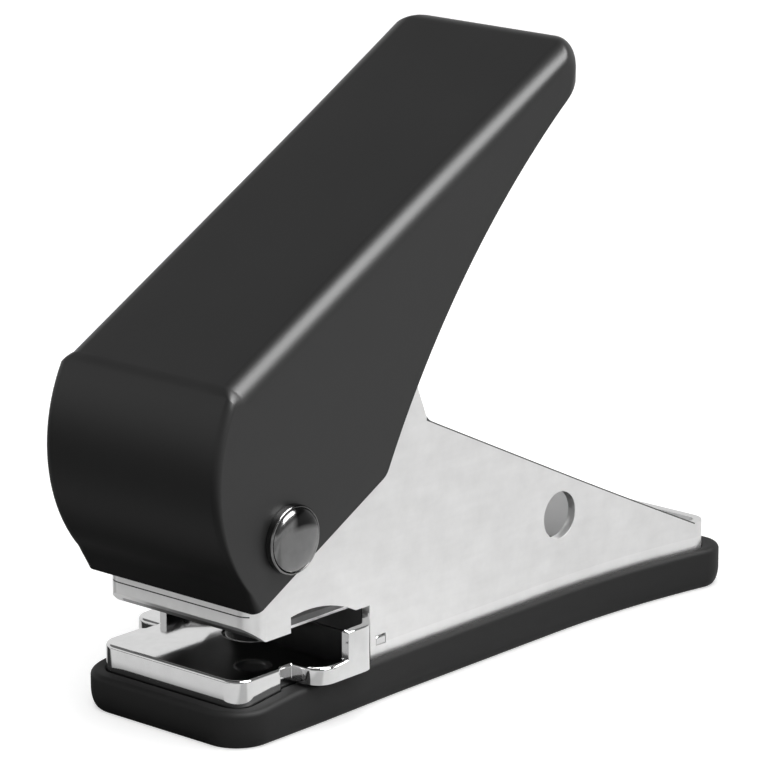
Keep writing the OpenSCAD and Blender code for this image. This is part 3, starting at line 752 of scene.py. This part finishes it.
def rivetMesh():
    s = rivet
    seat = lever["width"] / 2 + s["clearance"]
    tree = ShapeTree("domedRivet")
    v = tree.sizes({
        "Shank radius": s["shank"] * mm, "Head radius": s["head"] * mm, "Seat": seat * mm,
        "Rim height": s["rim"] * mm, "Dome height": s["dome"] * mm, "Edge": s["edge"] * mm,
        "Groove": s["groove"] * mm, "Rows": s["rows"], "Sides": s["sides"],
    })
    mesh, row, column = tree.grid(v["Rows"], v["Sides"])
    # from the shank's middle out to the seat, over the rim's rounded edge and up the dome
    done = row / v["Rows"] * sum(rivetParts.values())
    runs = {}
    for name, rows in rivetParts.items():
        runs[name] = (done / rows).within()
        done = done - rows
    angle = column / v["Sides"] * math.tau
    corner = runs["edge"] * (math.pi / 2)
    rise = runs["dome"] * (math.pi / 2)
    domeR = v["Head radius"] - v["Edge"] - v["Groove"]
    radius = (v["Shank radius"] + (v["Head radius"] - v["Shank radius"]) * runs["seat"]
              - v["Edge"] * (1 - corner.cosine()) - v["Groove"] * runs["groove"]
              - domeR * (1 - rise.cosine()))
    height = (v["Seat"] * runs["shank"] + (v["Rim height"] - v["Edge"]) * runs["rim"]
              + v["Edge"] * corner.sine() - v["Groove"] * runs["groove"]
              + (v["Dome height"] + v["Groove"]) * rise.sine())
    spot = tree.place(height, radius * angle.cosine(), radius * angle.sine())
    half = tree.shaped(mesh, spot)
    join = tree.tree.nodes.new("GeometryNodeJoinGeometry")
    for end in (half, tree.turned(half, (0, 0, math.pi))):
        tree.tree.links.new(end.socket, join.inputs[0])
    pivot = tree.size("Pivot", hingePlace, "Vector")
    placed = tree.turned(Wire(tree, join.outputs[0]), (0, 0, 0), pivot)
    made = tree.meshOf(placed, materials["rivet_steel"])
    made.shade_smooth()
    made.set_sharp_from_angle(angle=math.radians(s["sharpAngle"]))
    return made


dress(rivetMesh(), "pivot_rivet")
print("rivet made")

# Base: a moulded tray whose rim follows the frame
base = {
    "front": 17.8, "width": 28.8, "corner": 5.4, "halfWall": 12.75, "rimWidth": 1.3,
    "blendFrom": -5.4, "blendTo": 16.0, "flareFrom": 44.0, "flareRadius": 148.0, "back": 77.6,
    "tailCorner": 4.0, "rim": 5.7, "rimFront": 4.9, "rimFrom": -15.5, "rimTo": -5.4,
    "floor": 1.5, "rimRound": 0.75, "footIn": 1.1, "footHeight": 2.6, "innerRound": 0.25,
    "gap": 0.12, "jawHalf": 12.2, "jawFront": 15.5, "jawCorner": 2.6, "jawEnd": 8.0,
    "frameBack": 74.6, "frameCorner": 2.4, "waist": [(-8.0, 0.0), (-7.5, 0.5)],
    "cornerSteps": 20, "blendSteps": 40, "sideSteps": 30, "tailSteps": 18, "footSteps": 8,
    "rimSteps": 8, "innerSteps": 4, "sharpAngle": 40,
}


def arc(centre, radius, start, end, steps):
    angles = [math.radians(start + (end - start) * i / steps) for i in range(steps + 1)]
    return [(centre[0] + radius * math.cos(a), centre[1] + radius * math.sin(a)) for a in angles]


def eased(a, b, t):
    return a + (b - a) * (1 - math.cos(math.pi * min(1.0, max(0.0, t)))) / 2


def blendShares():  # the places in the stretch where the front narrows to the walls
    return [i / base["blendSteps"] for i in range(base["blendSteps"] + 1)]


def flareHalf(back, corner, rim, inset):
    s = base
    sideRadius = s["flareRadius"] - rim
    centreX = s["halfWall"] + s["flareRadius"]
    turn = math.asin((back - corner - s["flareFrom"]) / (sideRadius + corner))
    lean = math.degrees(turn)
    cornerX = centreX - (sideRadius + corner) * math.cos(turn)
    side = arc((centreX, s["flareFrom"]), sideRadius + inset, 180, 180 - lean, s["sideSteps"])
    end = arc((cornerX, back - corner), corner - inset, -lean, 90, s["tailSteps"])
    return side[1:] + end


def outerHalf(inset):
    s = base
    wide, narrow = s["width"] / 2, s["halfWall"] + s["rimWidth"]
    centre = (wide - s["corner"], s["corner"] - s["front"])
    front = arc(centre, s["corner"] - inset, -90, 0, s["cornerSteps"])
    run = [(wide - inset, y) for y, depth in s["waist"]]
    for t in blendShares():
        y = s["blendFrom"] + (s["blendTo"] - s["blendFrom"]) * t
        run.append((eased(wide, narrow, t) - inset, y))
    last = [(narrow - inset, s["flareFrom"])]
    return front + run + last + flareHalf(s["back"], s["tailCorner"], s["rimWidth"], inset)


def innerHalf(inset):  # one place for each place on the outer outline
    s = base
    grown = s["gap"] - inset
    centre = (s["jawHalf"] - s["jawCorner"], s["jawCorner"] - s["jawFront"])
    front = arc(centre, s["jawCorner"] + grown, -90, 0, s["cornerSteps"])
    run = [(s["jawHalf"] - depth + grown, y) for y, depth in s["waist"]]
    for t in blendShares():
        y = s["blendFrom"] + (s["blendTo"] - s["blendFrom"]) * t
        wide = s["halfWall"] if y > s["jawEnd"] - s["gap"] else s["jawHalf"] - s["waist"][-1][1]
        run.append((wide + grown, y))
    last = [(s["halfWall"] + grown, s["flareFrom"])]
    return front + run + last + flareHalf(s["frameBack"], s["frameCorner"], 0, -grown)


def quarterTurn(steps):  # the sine and the cosine at each step of it
    angles = [math.radians(90 * i / steps) for i in range(steps + 1)]
    return [(math.sin(angle), math.cos(angle)) for angle in angles]


def baseMesh():
    s = base
    work = bmesh.new()

    def ring(half, z, sunk=True):  # sunk ones dip with the rim's front
        made = []
        for x, y in half + [(-x, y) for x, y in reversed(half)]:
            t = (y - s["rimFrom"]) / (s["rimTo"] - s["rimFrom"])
            dip = eased(s["rim"] - s["rimFront"], 0.0, t) if sunk else 0.0
            made.append(work.verts.new((x * mm, y * mm, (z - dip) * mm)))
        return made

    rings = []
    for sine, cosine in quarterTurn(s["footSteps"]):
        outline = outerHalf(s["footIn"] * (1 - sine))
        rings.append(ring(outline, s["footHeight"] * (1 - cosine), sunk=False))
    for sine, cosine in quarterTurn(s["rimSteps"]):
        outline = outerHalf(s["rimRound"] * (1 - cosine))
        rings.append(ring(outline, s["rim"] - s["rimRound"] * (1 - sine)))
    for sine, cosine in quarterTurn(s["innerSteps"]):
        outline = innerHalf(-s["innerRound"] * (1 - sine))
        rings.append(ring(outline, s["rim"] - s["innerRound"] * (1 - cosine)))
    rings.append(ring(innerHalf(0), s["floor"], sunk=False))
    for low, high in zip(rings, rings[1:]):
        for i in range(len(low)):
            k = (i + 1) % len(low)
            work.faces.new((low[i], low[k], high[k], high[i]))
    work.faces.new(list(reversed(rings[0])))
    work.faces.new(rings[-1])
    bmesh.ops.recalc_face_normals(work, faces=work.faces)
    mesh = bpy.data.meshes.new("base_tray_dressed")
    work.to_mesh(mesh)
    work.free()
    mesh.shade_smooth()
    mesh.set_sharp_from_angle(angle=math.radians(s["sharpAngle"]))
    return mesh


dress(baseMesh(), "base_tray")
print("base made")

# Floor, light and camera
studio = {
    "floorHalf": 6.0, "floorColour": grey(0.80), "floorGlow": 0.45, "mirrorGlow": 0.2,
    "cardColour": grey(0.05), "cardNear": (-0.010, -0.025), "cardFar": -0.050, "cardSoft": 0.004,
    "cardSide": 0.012, "cardRight": 0.35,
    "ambient": 0.55, "skyEdge": 0.34, "skyLean": 0.2, "skyFade": 0.06, "ceiling": 0.20,
    "target": Vector((0.75, 24.32, 36.12)) * mm, "azimuth": 41.506, "elevation": 15.394,
    "roll": -0.057, "distance": 566.07 * mm, "focal": 4395.7, "frameSize": 768, "sensor": 36.0,
    "nearest": 0.01, "furthest": 50,
}


def rays(tree):
    return tree.node("ShaderNodeLightPath", out=["Is Camera Ray", "Is Glossy Ray", "Is Transmission Ray"])


def makeFloor():
    half = studio["floorHalf"]
    corners = [(-half, -half, 0), (half, -half, 0), (half, half, 0), (-half, half, 0)]
    mesh = bpy.data.meshes.new("floor")
    mesh.from_pydata(corners, [], [(0, 1, 2, 3)])
    material, tree, place = startMaterial("paleFloor")
    camera, glossy, through = rays(tree)
    matt = tree.node("ShaderNodeBsdfDiffuse", sockets={"Color": studio["floorColour"]})
    shine = (camera + through).within() * studio["floorGlow"] + glossy * studio["mirrorGlow"]
    glow = tree.node("ShaderNodeEmission", sockets={"Strength": shine})
    both = tree.node("ShaderNodeAddShader", sockets={0: matt, 1: glow})
    # dark cards in front, seen in reflections alone
    x, y = tree.parts(place)[:2]
    soft = studio["cardSoft"]
    near, gap = [((edge - y) / soft).within() for edge in studio["cardNear"]]
    far = ((studio["cardFar"] - y) / soft).within()
    left = studio["cardRight"] + (1 - studio["cardRight"]) * ((studio["cardSide"] - x) / soft).within()
    card = (near - gap + far).within() * left * glossy
    black = tree.node("ShaderNodeBsdfDiffuse", sockets={"Color": studio["cardColour"]})
    seen = tree.node("ShaderNodeMixShader", sockets={0: card, 1: both, 2: black})
    tree.node("ShaderNodeOutputMaterial", sockets={"Surface": seen})
    mesh.materials.append(material)
    added("floor", mesh)


def makeWorld():  # pale all round, with a darker ceiling in reflections
    world = bpy.data.worlds.new("studio")
    world.use_nodes = True
    world.node_tree.nodes.clear()
    tree = Tree(world.node_tree)
    camera, glossy, through = rays(tree)
    across, height = tree.parts(tree.node("ShaderNodeTexCoord", out="Generated"))[::2]
    dark = ((height - studio["skyEdge"] + across * studio["skyLean"]) / studio["skyFade"]).within()
    mirrored = 1 - dark * (1 - studio["ceiling"])
    seen = (camera + through).within()
    strength = seen + glossy * mirrored + (1 - (camera + glossy + through).within()) * studio["ambient"]
    back = tree.node("ShaderNodeBackground", sockets={"Color": grey(1.0), "Strength": strength})
    tree.node("ShaderNodeOutputWorld", sockets={"Surface": back})
    bpy.context.scene.world = world


lamps = {
    "sky": {"from": (0.20, -0.10, 0.75), "size": (0.7, 0.7), "power": 3.2, "glossy": False},
    "front": {"from": (0.45, -0.60, 0.30), "size": (0.5, 0.5), "power": 1.4, "glossy": False},
    "edge": {"from": (0.446, 0.122, 0.626), "size": (0.55, 0.55), "power": 21.0, "diffuse": False},
}


def makeLamps():
    for name, lamp in lamps.items():
        data = bpy.data.lights.new(name, "AREA")
        data.shape = "RECTANGLE"
        data.size, data.size_y = lamp["size"]
        data.energy = lamp["power"]
        thing = added(name, data)
        thing.location = studio["target"] + Vector(lamp["from"])
        thing.rotation_euler = Vector(lamp["from"]).to_track_quat("Z", "Y").to_euler()
        thing.visible_glossy = lamp.get("glossy", True)
        thing.visible_diffuse = lamp.get("diffuse", True)


def makeCamera():
    data = bpy.data.cameras.new("camera")
    data.sensor_width = studio["sensor"]
    data.lens = studio["focal"] / studio["frameSize"] * studio["sensor"]
    data.clip_start = studio["nearest"]
    data.clip_end = studio["furthest"]
    camera = added("camera", data)
    a, e = math.radians(studio["azimuth"]), math.radians(studio["elevation"])
    back = Vector((math.sin(a) * math.cos(e), -math.cos(a) * math.cos(e), math.sin(e)))
    camera.location = studio["target"] + back * studio["distance"]
    roll = Matrix.Rotation(math.radians(studio["roll"]), 3, "Z")
    camera.rotation_euler = ((-back).to_track_quat("-Z", "Y").to_matrix() @ roll).to_euler()
    bpy.context.scene.camera = camera


makeFloor()
makeWorld()
makeLamps()
makeCamera()
bpy.context.scene.view_settings.view_transform = "Standard"
print("studio set")
